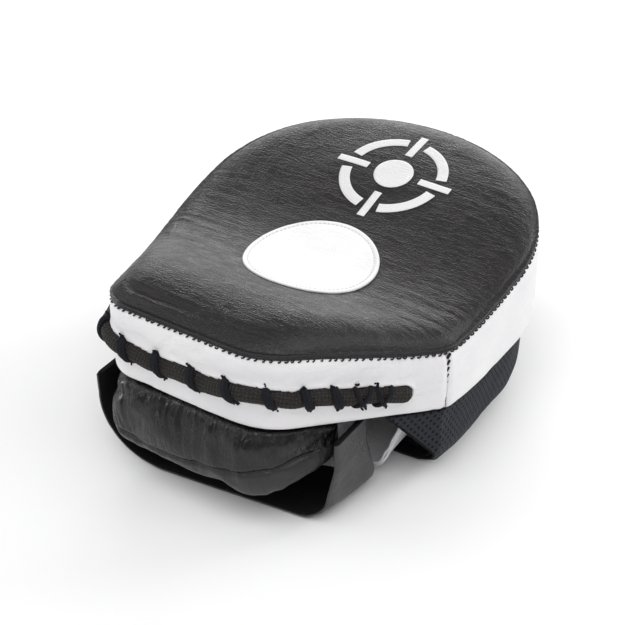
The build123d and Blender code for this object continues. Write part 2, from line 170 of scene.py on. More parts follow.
def leather(name, colour, mottle, gloss, pebble=1.0, crease=1.0, lines=(1, 1, 1), wear=0.0,
            worn=(0.2, 0.19, 0.2), line_scale=95.0, specular=0.5):
    """Leather: pebbled grain, pores, creases that run one way, mottled colour and worn crests."""
    p = Paint(name)
    cells = p.voronoi(1150.0, feature="SMOOTH_F1")
    pores = p.noise(2600.0, detail=2.0)
    creases = p.noise(line_scale, detail=5.0, roughness=0.6, distortion=0.5, stretch=lines)
    ridges = p.math("ABSOLUTE", p.math("SUBTRACT", creases, 0.5))
    valleys = p.remap(ridges, 0.0, 0.075)
    broad = p.noise(22.0, detail=3.0)
    patches = p.remap(broad, 0.35, 0.7)
    tone = p.mix(patches, colour, mottle)
    if wear:
        scuffs = p.noise(55.0, detail=6.0, roughness=0.7, stretch=lines)
        worn_amount = p.math("MULTIPLY", p.remap(scuffs, 0.52, 0.74), wear)
        tone = p.mix(worn_amount, tone, worn)
        speck = p.math("MULTIPLY", p.remap(cells, 0.0, 0.55, 1.0, 0.0), wear * 0.45)
        tone = p.mix(speck, tone, worn)
    p.colour(tone)
    p.rough(p.remap(p.noise(140.0, detail=4.0), 0.3, 0.7, gloss - 0.07, gloss + 0.08))
    p.bump(p.remap(broad, 0.0, 1.0), 0.0009, 0.5)
    p.bump(valleys, 0.00022 * crease, 0.6)
    p.bump(cells, 0.00022 * pebble, 0.9)
    p.bump(pores, 0.00006 * pebble, 0.8)
    return p.finish(Specular_IOR_Level=specular)


def braid():
    """Braided tubular cord: two sets of yarns crossing along the tube, with pale flecks; its colour
    darkens where the weave sinks, as painted shade between the yarns.
    """
    p = Paint("braided_cord")
    along, around = p.weave()
    one = p.math("SINE", p.math("MULTIPLY", p.math("ADD", along, around), FULL_TURN))
    two = p.math("SINE", p.math("MULTIPLY", p.math("SUBTRACT", along, around), FULL_TURN))
    weave = p.remap(p.math("MULTIPLY", one, two), -1.0, 1.0)
    fleck = p.noise(1500.0, detail=2.0)
    # painted shade: near black in the weave's hollows, lighter on the raised yarns
    tone = p.mix(weave, (0.003, 0.0026, 0.0026), (0.020, 0.016, 0.013))
    p.colour(p.mix(p.remap(fleck, 0.60, 0.78), tone, (0.11, 0.095, 0.08)))
    p.bump(weave, 0.0005, 0.9)
    p.bump(fleck, 0.0002, 0.8)
    p.rough(p.remap(fleck, 0.3, 0.7, 0.62, 0.85))
    return p.finish(Specular_IOR_Level=0.35)


def thread(name, colour, pale):
    """Twisted sewing thread with fuzz."""
    p = Paint(name)
    twist = p.noise(1900.0, detail=3.0, stretch=(1.0, 1.0, 2.4), turn=(0.6, 0.3, 0.0))
    p.colour(p.mix(p.remap(twist, 0.4, 0.75), colour, pale))
    p.bump(twist, 0.0004, 1.0)
    p.rough(p.remap(twist, 0.3, 0.7, 0.65, 0.9))
    return p.finish(Specular_IOR_Level=0.25)


def air_mesh():
    """Knitted spacer fabric: staggered rows of long holes, painted near-black as the shade inside them.
    """
    p = Paint("air_mesh")
    across, along = (p.math("COSINE", p.math("MULTIPLY", place, FULL_TURN)) for place in p.weave())
    lattice = p.math("MULTIPLY", across, along)
    painted_hole_shade = p.remap(lattice, 0.25, 0.6)
    yarn = p.noise(1700.0, detail=3.0)
    knit = p.mix(yarn, (0.010, 0.011, 0.016), (0.034, 0.036, 0.048))
    # painted shade: the holes are coloured near-black where the inside of the hood would be in shade
    p.colour(p.mix(painted_hole_shade, knit, (0.001, 0.001, 0.0015)))
    p.bump(p.remap(lattice, 0.15, 0.7, 1.0, 0.0), 0.0011, 1.0)
    p.bump(yarn, 0.0004, 0.9)
    p.rough(p.remap(yarn, 0.3, 0.7, 0.7, 0.92))
    return p.finish(Specular_IOR_Level=0.3)


def felt(name, colour, pale, pile, height):
    """Matte napped cloth, or a hook or loop tape."""
    p = Paint(name)
    nap = p.noise(pile, detail=6.0, roughness=0.75)
    lint = p.noise(520.0, detail=3.0)
    tone = p.mix(p.remap(nap, 0.35, 0.75), colour, pale)
    p.colour(p.mix(p.remap(lint, 0.66, 0.8), tone, tuple(min(1.0, 3.2 * c + 0.02) for c in pale)))
    p.bump(nap, height, 1.0)
    p.rough(p.remap(nap, 0.3, 0.7, 0.85, 0.98))
    return p.finish(Specular_IOR_Level=0.15)


face_leather = leather("face_leather", (0.0066, 0.0053, 0.0062), (0.0100, 0.0080, 0.0094), 0.40,
                       pebble=1.25, crease=0.8, lines=(0.35, 1.6, 1.0), wear=0.2,
                       worn=(0.040, 0.034, 0.038), line_scale=150.0, specular=0.42)
gloss_leather = leather("gloss_leather", (0.0032, 0.0028, 0.0028), (0.0052, 0.0045, 0.0044), 0.27,
                        pebble=0.16, crease=1.3, lines=(2.2, 1.0, 0.25), wear=0.06,
                        worn=(0.035, 0.028, 0.023), line_scale=150.0, specular=0.42)
lower_leather = leather("lower_leather", (0.014, 0.0132, 0.0142), (0.022, 0.0205, 0.0222), 0.42,
                        pebble=0.3, crease=1.2, lines=(1.8, 1.0, 0.3), wear=0.10,
                        worn=(0.040, 0.037, 0.040), specular=0.4)
strap_leather = leather("strap_leather", (0.024, 0.023, 0.0245), (0.036, 0.0345, 0.037), 0.50,
                        pebble=0.9, crease=1.1, lines=(1.0, 1.4, 0.7), wear=0.3,
                        worn=(0.075, 0.072, 0.075))
welt_leather = leather("welt_leather", (0.005, 0.0045, 0.0052), (0.010, 0.009, 0.0105), 0.40,
                       pebble=0.6, crease=0.8, wear=0.3, worn=(0.05, 0.046, 0.05))
panel_leather = leather("panel_leather", (0.010, 0.0094, 0.0105), (0.016, 0.015, 0.0165), 0.48,
                        wear=0.3, worn=(0.05, 0.047, 0.05))
white_leather = leather("white_leather", (0.84, 0.83, 0.84), (0.76, 0.75, 0.77), 0.50,
                        pebble=0.5, crease=0.9, lines=(0.8, 0.8, 1.5), wear=0.12,
                        worn=(0.66, 0.64, 0.64), line_scale=60.0)
patch_leather = leather("patch_leather", (0.90, 0.89, 0.90), (0.82, 0.81, 0.82), 0.48,
                        pebble=0.7, crease=0.6, lines=(0.5, 1.3, 1.0), wear=0.1,
                        worn=(0.70, 0.68, 0.68))
hood_leather = leather("hood_leather", (0.78, 0.77, 0.78), (0.66, 0.65, 0.67), 0.48,
                       pebble=0.8, crease=1.4, lines=(1.0, 1.0, 1.6), wear=0.15,
                       worn=(0.55, 0.54, 0.54))
print_ink = leather("print_ink", (0.80, 0.80, 0.80), (0.72, 0.72, 0.73), 0.5, pebble=0.9,
                    crease=0.6, lines=(0.35, 1.6, 1.0), wear=0.2, worn=(0.45, 0.44, 0.45))
lining_cloth = felt("lining_cloth", (0.0045, 0.0045, 0.005), (0.012, 0.012, 0.013), 2300.0, 0.0005)
hook_cloth = felt("hook_tape", (0.006, 0.006, 0.007), (0.03, 0.03, 0.032), 1300.0, 0.0008)
loop_cloth = felt("loop_tape", (0.008, 0.008, 0.009), (0.022, 0.022, 0.024), 1700.0, 0.0010)
cord_cloth = braid()
mesh_cloth = air_mesh()
black_thread = thread("black_thread", (0.003, 0.0036, 0.006), (0.012, 0.014, 0.021))
seam_thread = thread("seam_thread", (0.012, 0.011, 0.012), (0.05, 0.045, 0.045))
white_thread = thread("white_thread", (0.72, 0.71, 0.72), (0.88, 0.87, 0.88))

# ---------------------------------------------------------------- reading the frame


def cad_mesh(names):
    """Points and faces of one or more CAD nodes."""
    points, faces = [], []
    for name in names:
        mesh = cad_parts[name].data
        base = len(points)
        points += [tuple(v.co) for v in mesh.vertices]
        faces += [[base + i for i in p.vertices] for p in mesh.polygons]
    return points, faces


def tree(*names):
    """A ray-cast tree of one or more CAD nodes."""
    return BVHTree.FromPolygons(*cad_mesh(names))


wall_tree = tree("wrist_wall", "head_wall")
face_tree = tree("face_cover")
RING = 1200
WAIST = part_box("head_wall")[0].y              # where the wrist wall meets the head wall
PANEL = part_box("palm_grip_cover")[1].z        # underside of the back panel
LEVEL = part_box("wrist_wall")[0].z + 11.0 * MM


def run_along(path):
    """Distance run at each point of a path."""
    return np.r_[0, np.cumsum(np.linalg.norm(np.diff(path, axis=0), axis=1))]


def unit(values):
    return np.clip(values, 0, 1)


def hump(offset, width):
    """One at no offset, fading to nothing a few widths away."""
    return np.exp(-(offset / width) ** 2)


def read_outline(count):
    """The pad's plan outline as evenly spaced points, counter-clockwise from the wrist."""
    points = []
    for index in range(4 * count):
        a = -math.pi / 2 + index * 2 * math.pi / (4 * count)
        away = Vector((math.cos(a), math.sin(a), 0))
        hit = wall_tree.ray_cast(away * 0.3 + Vector((0, 0, LEVEL)), -away)[0]
        if hit is not None:
            points.append((hit.x, hit.y))
    points = np.array(points)
    closed = np.vstack([points, points[:1]])
    run = run_along(closed)
    even = np.linspace(0, run[-1], count, endpoint=False)
    ring = np.c_[np.interp(even, run, closed[:, 0]), np.interp(even, run, closed[:, 1])]
    for _ in range(6):
        ring = (np.roll(ring, 1, 0) + 2 * ring + np.roll(ring, -1, 0)) / 4
    return ring, run[-1]


ring, PERIMETER = read_outline(RING)
tangent = np.roll(ring, -1, 0) - np.roll(ring, 1, 0)
tangent /= np.linalg.norm(tangent, axis=1)[:, None]
outward = np.c_[tangent[:, 1], -tangent[:, 0]]
arc = np.arange(RING) / RING * PERIMETER


def wall_end(point, start, way):
    """Height where a vertical ray just inside the outline meets the wall."""
    hit = wall_tree.ray_cast(Vector((point[0], point[1], start)), Vector((0, 0, way)))[0]
    return math.nan if hit is None else hit.z


def filled(values):
    values = np.array(values, float)
    good = np.isfinite(values)
    index = np.arange(len(values))
    return np.interp(index, index[good], values[good])


inner = ring - outward * 1.0 * MM
seam_ring = filled([wall_end(q, SKY, -1) for q in inner])
floor_ring = filled([wall_end(q, -0.1, 1) for q in inner])
order = np.argsort(ring[:, 1])


def seam_at(y):
    return np.interp(y, ring[order, 1], seam_ring[order])


def floor_at(y):
    return np.interp(y, ring[order, 1], floor_ring[order])


crown_y = np.linspace(ring[:, 1].min() + 9 * MM, ring[:, 1].max() - 9 * MM, 120)
crown_z = filled([(lambda hit: math.nan if hit is None else hit.z)(
    face_tree.ray_cast(Vector((0, y, SKY)), Vector((0, 0, -1)))[0]) for y in crown_y])


def crown_at(y):
    return np.interp(y, crown_y, crown_z)


edge_tree = kdtree.KDTree(RING)
for index, q in enumerate(ring):
    edge_tree.insert((q[0], q[1], 0), index)
edge_tree.balance()


def from_edge(x, y):
    """Distance in plan from the pad's outline, for arrays of places."""
    places = zip(x.ravel(), y.ravel())
    return np.array([edge_tree.find((a, b, 0))[2] for a, b in places]).reshape(x.shape)


ROLL_START = 9 * MM
ROLL_SHARE = 1.15


def face_height(y, distance):
    """Height of the striking face: it rolls up from the seam, then swells to its crown."""
    rise = crown_at(y) - seam_at(y)
    u = unit(distance / (ROLL_START + ROLL_SHARE * rise))
    rolled = np.sqrt(1 - (1 - u) ** 2.3)
    inside = unit(distance / (60 * MM))
    return seam_at(y) + rise * rolled + 1.6 * MM * (np.sin(inside * math.pi / 2) - 1)


# ---------------------------------------------------------------- mesh helpers


def smooth_noise(points, scale, seed=0.0, octaves=1):
    """Signed noise at each point; scale is the size of one lump, in metres, one or per axis."""
    size = np.array(scale, float) * np.ones(3)
    shift = Vector((seed * 7.3, seed * 3.1, seed * 5.7))
    if octaves == 1:
        return np.array([noise.noise(Vector(p) + shift) for p in points / size])
    return np.array([noise.fractal(Vector(p) + shift, 0.7, 2.1, octaves) for p in points / size])


def make(name, points, faces, paint, body="mitt", shade=True, ride=True):
    mesh = bpy.data.meshes.new(name)
    mesh.from_pydata(np.asarray(points).tolist(), [], faces)
    mesh.update()
    made = bpy.data.objects.new(name, mesh)
    bpy.context.scene.collection.objects.link(made)
    for material in (paint if isinstance(paint, (list, tuple)) else [paint]):
        mesh.materials.append(material)
    if shade:
        mesh.shade_smooth()
    if ride:
        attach(made, body)
    return made


def grid_faces(rows, columns, wrap=True, base=0):
    """Quads over rows of points; wrap joins each row's ends."""
    last = columns if wrap else columns - 1
    return [[base + r * columns + c, base + r * columns + (c + 1) % columns,
             base + (r + 1) * columns + (c + 1) % columns, base + (r + 1) * columns + c]
            for r in range(rows - 1) for c in range(last)]


def loft(name, rows, paint, wrap=True, cap_first=False, cap_last=False, **options):
    """A skin over rows of points."""
    rows = np.asarray(rows)
    count, columns = rows.shape[:2]
    faces = grid_faces(count, columns, wrap)
    if cap_first:
        faces.append(list(range(columns))[::-1])
    if cap_last:
        faces.append([(count - 1) * columns + c for c in range(columns)])
    return make(name, rows.reshape(-1, 3), faces, paint, **options)


def tube_parts(path, radius, sides=10, start_at=0.0):
    """Points, faces and (along, around) places of a round tube along a path, with domed ends."""
    path = np.asarray(path, float)
    radius = np.ones(len(path)) * radius
    heading = np.gradient(path, axis=0)
    heading /= np.linalg.norm(heading, axis=1)[:, None] + 1e-12
    side = np.cross(heading[0], (0.0, 0.0, 1.0))
    if np.linalg.norm(side) < 0.2:
        side = np.cross(heading[0], (0.0, 1.0, 0.0))
    side /= np.linalg.norm(side)
    a = np.linspace(0, 2 * math.pi, sides, endpoint=False)
    run = run_along(path) + start_at
    points, places = [], []

    def ring_at(centre, forward, across, r, along):
        up = np.cross(forward, across)
        points.append(centre + r * (np.cos(a)[:, None] * across + np.sin(a)[:, None] * up))
        places.append(np.c_[np.ones(sides) * along, a / (2 * math.pi), np.zeros(sides)])

    frames = []
    for forward in heading:
        side = side - forward * (side @ forward)
        side /= np.linalg.norm(side)
        frames.append(side.copy())
    for turn in (80, 55, 28):
        t = math.radians(turn)
        ring_at(path[0] - heading[0] * radius[0] * math.sin(t), heading[0], frames[0],
                radius[0] * math.cos(t), run[0] - radius[0] * math.sin(t))
    for index in range(len(path)):
        ring_at(path[index], heading[index], frames[index], radius[index], run[index])
    for turn in (28, 55, 80):
        t = math.radians(turn)
        ring_at(path[-1] + heading[-1] * radius[-1] * math.sin(t), heading[-1], frames[-1],
                radius[-1] * math.cos(t), run[-1] + radius[-1] * math.sin(t))
    rows = len(points)
    faces = grid_faces(rows, sides)
    faces.append(list(range(sides))[::-1])
    faces.append([(rows - 1) * sides + c for c in range(sides)])
    return np.vstack(points), faces, np.vstack(places)


class Bundle:
    """Many small tubes gathered into one piece."""

    def __init__(self):
        self.points, self.faces, self.count = [], [], 0

    def tube(self, path, radius, sides=8):
        points, faces, _ = tube_parts(path, radius, sides)
        self.points.append(points)
        self.faces += [[i + self.count for i in f] for f in faces]
        self.count += len(points)

    def piece(self, name, paint, **options):
        return make(name, np.vstack(self.points), self.faces, paint, **options)


def store(made, name, values):
    attribute = made.data.attributes.new(name, "FLOAT_VECTOR", "POINT")
    attribute.data.foreach_set("vector", np.asarray(values, np.float32).ravel())


def coordinates(made):
    co = np.zeros(len(made.data.vertices) * 3)
    made.data.vertices.foreach_get("co", co)
    return co.reshape(-1, 3)


def normals(made):
    return np.array([n.vector[:] for n in made.data.vertex_normals])


def skin_tree(made):
    """A ray-cast tree of a finished piece."""
    return BVHTree.FromPolygons([tuple(q) for q in coordinates(made)],
                                [list(p.vertices) for p in made.data.polygons])


def set_coordinates(made, co):
    made.data.vertices.foreach_set("co", np.asarray(co).ravel())
    made.data.update()


def baked(made):
    """The piece with its modifiers worked into its mesh."""
    graph = bpy.context.evaluated_depsgraph_get()
    mesh = bpy.data.meshes.new_from_object(made.evaluated_get(graph))
    mesh.name = made.name
    made.modifiers.clear()
    made.data = mesh
    mesh.shade_smooth()
    return made


def soft_copy(name, nodes, voxel, smooth, paint):
    """The outside of CAD nodes as an even, softened mesh, not yet riding on a body."""
    points, faces = cad_mesh(nodes)
    made = make(name, points, faces, paint, ride=False)
    remesh = made.modifiers.new("remesh", "REMESH")
    remesh.mode = "VOXEL"
    remesh.voxel_size = voxel
    soften = made.modifiers.new("soften", "SMOOTH")
    soften.factor = 0.5
    soften.iterations = smooth
    baked(made)
    made.data.materials.clear()
    for material in (paint if isinstance(paint, (list, tuple)) else [paint]):
        made.data.materials.append(material)
    return made


def push(made, amount):
    set_coordinates(made, coordinates(made) + normals(made) * np.asarray(amount)[:, None])


# ---------------------------------------------------------------- striking face

rows = [(3.4, -1.4), (1.9, -0.5), (1.0, 0.5), (0.55, 1.4), (0.35, 2.3)]
rows += [(0.35 + 4.65 * (k / 12) ** 1.6, None) for k in range(1, 12)]
left_front = hump(ring[:, 0] + 40 * MM, 26 * MM) * (ring[:, 1] < WAIST - 30 * MM)
along_arc = np.c_[arc, arc * 0, arc * 0]
pucker = smooth_noise(along_arc, 2.6 * MM, 1) * (0.6 + 0.8 * smooth_noise(along_arc, 31 * MM, 2))
face_rows = []
for inset, rise in rows:
    plan = ring - outward * inset * MM
    if rise is None:
        height = np.maximum(face_height(plan[:, 1], inset * MM), seam_at(plan[:, 1]) + 2.6 * MM)
        fade = 0.8
    else:
        height = seam_at(plan[:, 1]) + rise * MM
        fade = 0.7 if rise > 0 else 0.2
    plan = plan + outward * (pucker * 0.5 * MM * fade)[:, None]
    face_rows.append(np.c_[plan, height])
start = ring - outward * 5.0 * MM
middle = np.array([0.0, 4.0 * MM])
steps = np.r_[np.linspace(0, 0.22, 34)[1:], np.linspace(0.22, 0.992, 124)[1:]]
for step in steps:
    plan = start + (middle - start) * step
    distance = from_edge(plan[:, 0], plan[:, 1])
    height = np.maximum(face_height(plan[:, 1], distance), seam_at(plan[:, 1]) + 2.6 * MM)
    spot = np.c_[plan, plan[:, 0] * 0]
    near = unit(1 - (distance - 5 * MM) / (9 * MM))
    height = height + pucker * near * 0.35 * MM
    height -= left_front * 0.9 * MM * hump(distance - 10.5 * MM, 2.2 * MM)
    height += left_front * 0.7 * MM * hump(distance - 6.0 * MM, 2.6 * MM)
    valley = hump(plan[:, 1] - WAIST - 8 * MM, 30 * MM)
    flank = unit((np.abs(plan[:, 0]) - 38 * MM) / (45 * MM))
    folds = smooth_noise(spot, (46 * MM, 5.5 * MM, 1), 3) + 0.5 * smooth_noise(
        spot, (24 * MM, 2.6 * MM, 1), 4)
    height += folds * valley * (0.16 + 0.34 * flank) * MM
    radial = smooth_noise(np.c_[arc * (1 - step * 0.6), distance * 0.14, arc * 0], 5.5 * MM, 5)
    height += radial * 0.22 * MM * flank * (plan[:, 1] > WAIST)
    height += smooth_noise(spot, 52 * MM, 6) * 0.8 * MM * unit(distance / (20 * MM))
    height += smooth_noise(spot, 15 * MM, 7) * 0.16 * MM
    face_rows.append(np.c_[plan, height])
face = loft("striking_face", face_rows, face_leather, cap_last=True)
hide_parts("face_cover", "foam_face")
face_skin = skin_tree(face)


def on_face(x, y, lift):
    """A point on the finished face leather, lifted along Z."""
    hit = face_skin.ray_cast(Vector((x, y, SKY)), Vector((0, 0, -1)))[0]
    return np.array([x, y, hit.z + lift])


# welt rolled between the face and the walls
welt_plan = ring - outward * 1.9 * MM
welt_ring = np.c_[welt_plan, seam_ring - 0.1 * MM]
welt_turns = np.linspace(0, 2 * math.pi, 12, endpoint=False)
welt_rows = [np.c_[welt_plan + outward * (1.45 * MM * math.cos(t)),
                   welt_ring[:, 2] + 1.25 * MM * math.sin(t) + pucker * 0.25 * MM]
             for t in np.r_[welt_turns, welt_turns[:1]]]
welt = loft("face_welt_roll", welt_rows, welt_leather)
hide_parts("face_welt")

# sewing that holds the face to the walls
sewing = Bundle()
count = int(PERIMETER / (3.5 * MM))
for index in range(count):
    k = int(index / count * RING + rng.uniform(-0.8, 0.8)) % RING
    centre = np.r_[ring[k] - outward[k] * 0.55 * MM, seam_ring[k] - 1.35 * MM]
    along = np.r_[tangent[k], 0]
    lean = along * math.cos(0.5) + np.array([0, 0, 1]) * math.sin(0.5 + rng.uniform(-0.5, 0.5))
    half = rng.uniform(0.75, 1.2) * MM
    out = np.r_[outward[k], 0]
    sewing.tube([centre - lean * half - out * 0.5 * MM, centre - lean * half * 0.4 + out * 0.25 * MM,
                 centre + lean * half * 0.4 + out * 0.3 * MM, centre + lean * half - out * 0.5 * MM],
                0.42 * MM, 6)
face_sewing = sewing.piece("face_edge_sewing", seam_thread)

# ---------------------------------------------------------------- target patch and print

patch_low, patch_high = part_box("target_patch")
patch_centre = ((patch_low + patch_high) / 2).xy
PATCH = (patch_high.x - patch_low.x) / 2
disc = 180
turns = np.linspace(0, 2 * math.pi, disc, endpoint=False)
wobble = 1 + 0.006 * np.sin(2 * turns + 0.7) + 0.004 * np.sin(5 * turns)
patch_rows = []
patch_profile = [(1.0, -0.5), (1.003, 0.35), (0.999, 0.85), (0.988, 1.15), (0.975, 1.25), (0.955, 1.15),
                 (0.938, 0.86), (0.930, 0.72), (0.922, 0.80), (0.905, 1.1), (0.88, 1.28)]
patch_profile += [(0.86 - 0.84 * t, 1.32 + 0.25 * math.sin(math.pi * min(1, t * 1.3)))
                  for t in np.linspace(0, 1, 34)]
for share, lift in patch_profile:
    row = []
    for t, w in zip(turns, wobble):
        x = patch_centre.x + PATCH * share * w * math.cos(t)
        y = patch_centre.y + PATCH * share * w * math.sin(t)
        z = on_face(x, y, 0)[2]
        ripple = noise.noise(Vector((x, y, 0)) / (9 * MM)) * 0.1 * MM * (1 if share < 0.9 else 0.4)
        row.append((x, y, z + lift * MM + ripple))
    patch_rows.append(row)
patch = loft("target_patch_leather", patch_rows, patch_leather, cap_last=True)
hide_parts("target_patch")

ring_sewing = Bundle()
PATCH_STITCHES = 86
for index in range(PATCH_STITCHES):
    t0 = index * 2 * math.pi / PATCH_STITCHES
    t1 = t0 + 2 * math.pi / PATCH_STITCHES * 0.62
    path = []
    for step, lift in zip(np.linspace(0, 1, 5), (0.45, 0.98, 1.12, 0.98, 0.45)):
        t = t0 + (t1 - t0) * step
        x = patch_centre.x + PATCH * 0.932 * math.cos(t)
        y = patch_centre.y + PATCH * 0.932 * math.sin(t)
        path.append(on_face(x, y, lift * MM))
    ring_sewing.tube(path, 0.30 * MM, 6)
patch_sewing = ring_sewing.piece("target_patch_sewing", white_thread)


def printed(name, shapes, lift):
    """Flat ink shapes on the face: each is a function of (u, v) in 0..1 giving (x, y)."""
    points, faces, base = [], [], 0
    for shape, wide, long in shapes:
        for layer in (lift, lift - 0.5 * MM):
            for i in range(wide + 1):
                for j in range(long + 1):
                    x, y = shape(i / wide, j / long)
                    points.append(on_face(x, y, layer))
        n = (wide + 1) * (long + 1)
        for i in range(wide):
            for j in range(long):
                q = [base + i * (long + 1) + j, base + (i + 1) * (long + 1) + j,
                     base + (i + 1) * (long + 1) + j + 1, base + i * (long + 1) + j + 1]
                faces.append(q)
                faces.append([v + n for v in q][::-1])
        edge = [base + i * (long + 1) for i in range(wide + 1)]
        edge += [base + wide * (long + 1) + j for j in range(1, long + 1)]
        edge += [base + i * (long + 1) + long for i in range(wide - 1, -1, -1)]
        edge += [base + j for j in range(long - 1, 0, -1)]
        for a, b in zip(edge, edge[1:] + edge[:1]):
            faces.append([b, a, a + n, b + n])
        base += 2 * n
    return make(name, points, faces, print_ink)


MARK = (2 * MM, 62 * MM)


def arc_band(inner_radius, outer_radius, start, end):
    def shape(u, v):
        r = (inner_radius + (outer_radius - inner_radius) * u) * MM
        a = math.radians(start + (end - start) * v)
        return MARK[0] + r * math.cos(a), MARK[1] + r * math.sin(a)
    return shape


def bar(x0, x1, y0, y1, slant=0.0):
    def shape(u, v):
        y = y0 + (y1 - y0) * v
        return MARK[0] + (x0 + (x1 - x0) * u + slant * v) * MM, MARK[1] + y * MM
    return shape


mark_shapes = [(arc_band(24.0, 30.0, 12 + 90 * k, 78 + 90 * k), 5, 60) for k in range(4)]
mark_shapes += [(arc_band(0.05, 11.0, 0, 359.9), 9, 90)]
mark_shapes += [(bar(-2.2, 2.2, 16.0, 35.0), 5, 26), (bar(-2.2, 2.2, -35.0, -16.0), 5, 26),
                (bar(16.0, 35.0, -2.2, 2.2), 26, 5), (bar(-35.0, -16.0, -2.2, 2.2), 26, 5)]
mark = printed("aiming_mark", mark_shapes, 0.16 * MM)

# ---------------------------------------------------------------- lacing cord

cord_low, cord_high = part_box("lacing_cord")
CORD = 4.5 * MM
cord_y = cord_low.y + CORD
cord_corners = np.array([
    (cord_low.x + CORD, -70.9 * MM, 87 * MM),
    (-65.0 * MM, cord_y, 88 * MM), (-20 * MM, cord_y, 85.5 * MM),
    (31 * MM, cord_y, 89 * MM), (cord_high.x - CORD, -55.9 * MM, 75 * MM)])
cord_bends = (20 * MM, 150 * MM, 40 * MM)


def rounded(corners, bends, spacing):
    """A polyline with rounded corners, evenly spaced."""
    path = [corners[0]]
    for before, corner, after, bend in zip(corners, corners[1:], corners[2:], bends):
        a = (before - corner) / np.linalg.norm(before - corner)
        b = (after - corner) / np.linalg.norm(after - corner)
        half = (math.pi - math.acos(np.clip(a @ b, -1, 1))) / 2
        reach = bend * math.tan(half)
        for t in np.linspace(0, 1, 24):
            path.append((1 - t) ** 2 * (corner + a * reach) + 2 * t * (1 - t) * (
                corner + (a + b) * reach * (1 - 0.89)) + t ** 2 * (corner + b * reach))
    path.append(corners[-1])
    path = np.array(path)
    run = run_along(path)
    even = np.linspace(0, run[-1], int(run[-1] / spacing))
    return np.c_[[np.interp(even, run, path[:, k]) for k in range(3)]].T, even


cord_path, cord_run = rounded(cord_corners, cord_bends, 0.45 * MM)
cord_length = cord_run[-1]
STITCHES = 10
shares = np.linspace(0, 1, STITCHES)
shares = shares + 0.09 * np.sin(math.pi * shares ** 1.4)
FIRST_STITCH, LAST_STITCH = 0.17, 0.943
stitch_runs = (FIRST_STITCH + (LAST_STITCH - FIRST_STITCH) * shares) * cord_length
pinch = np.zeros(len(cord_run))
for run_place in stitch_runs:
    pinch += hump(cord_run - run_place, 3.0 * MM)
slack = (1 - unit(pinch)) * smooth_noise(np.c_[cord_run, cord_run * 0, cord_run * 0], 17 * MM, 8)
cord_path[:, 2] += slack * 1.9 * MM
cord_sides = 48
cord_points, cord_faces, cord_places = tube_parts(cord_path, CORD - 0.6 * MM * unit(pinch)
                                                  + 0.35 * MM, cord_sides)
cord_along = cord_places[:, 0] / (3.6 * MM)
cord_around = cord_places[:, 1] * 9
braid_height = np.sin(2 * math.pi * (cord_along + cord_around)) * np.sin(
    2 * math.pi * (cord_along - cord_around))
cord_centre = np.repeat(np.vstack([np.repeat(cord_path[:1], 3, 0), cord_path,
                                   np.repeat(cord_path[-1:], 3, 0)]), cord_sides, 0)
cord_away = cord_points - cord_centre
cord_away /= np.linalg.norm(cord_away, axis=1)[:, None] + 1e-9
cord_points += cord_away * (braid_height * 0.13 * MM)[:, None]
cord = make("lacing_tube", cord_points, cord_faces, cord_cloth)
store(cord, "weave", np.c_[cord_along, cord_around, cord_along * 0])
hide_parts("lacing_cord")

lacing = Bundle()
up = np.array([0.0, 0.0, 1.0])
for index, run_place in enumerate(stitch_runs):
    k = int(np.searchsorted(cord_run, run_place))
    k = min(max(k, 2), len(cord_path) - 3)
    centre = cord_path[k]
    heading = cord_path[k + 2] - cord_path[k - 2]
    heading /= np.linalg.norm(heading)
    out = np.cross(heading, up)
    out /= np.linalg.norm(out)
    rise = np.cross(out, heading)
    leans = [0.42, 0.42, 0.42, 0.42]
    if index >= STITCHES - 2:
        leans = [0.5, 0.5, -0.6, -0.6]
    for strand, lean in enumerate(leans):
        lean += rng.uniform(-0.08, 0.08)
        across = rise * math.cos(lean) - heading * math.sin(lean)
        shift = heading * ((strand - (len(leans) - 1) / 2) * 1.1 * MM + rng.uniform(-0.2, 0.2) * MM)
        radius = CORD + 0.7 * MM + 0.22 * MM * (strand % 3)
        path = []
        for a in np.radians(np.linspace(-112, 112, 25)):
            path.append(centre + shift * (1 - 0.35 * abs(a) / 2) + out * radius * math.cos(a) * 0.98
                        + across * radius * math.sin(a) * 1.12)
        lacing.tube(path, 0.95 * MM, 8)
    for end in (-1, 1):
        across = rise * math.cos(0.42) - heading * math.sin(0.42)
        root = centre + across * end * (CORD + 1.3 * MM) - out * 0.6 * MM
        for tuft in range(3 if end > 0 else 4):
            way = (across * end * rng.uniform(0.6, 1.2) + heading * rng.uniform(-0.7, 0.7)
                   + out * rng.uniform(0.35, 0.9))
            way /= np.linalg.norm(way)
            curl = np.cross(way, out) * rng.uniform(-1, 1)
            reach = rng.uniform(1.8, 3.6) * MM
            path = [root + way * reach * t + curl * reach * 0.45 * math.sin(2.6 * t)
                    for t in np.linspace(0, 1, 8)]
            lacing.tube(path, 0.55 * MM, 6)
laces = lacing.piece("lacing_thread", black_thread)
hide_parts("lacing_stitches")

# ---------------------------------------------------------------- walls

cord_tree = kdtree.KDTree(len(cord_path))
for index, q in enumerate(cord_path):
    cord_tree.insert((q[0], q[1], 0), index)
cord_tree.balance()


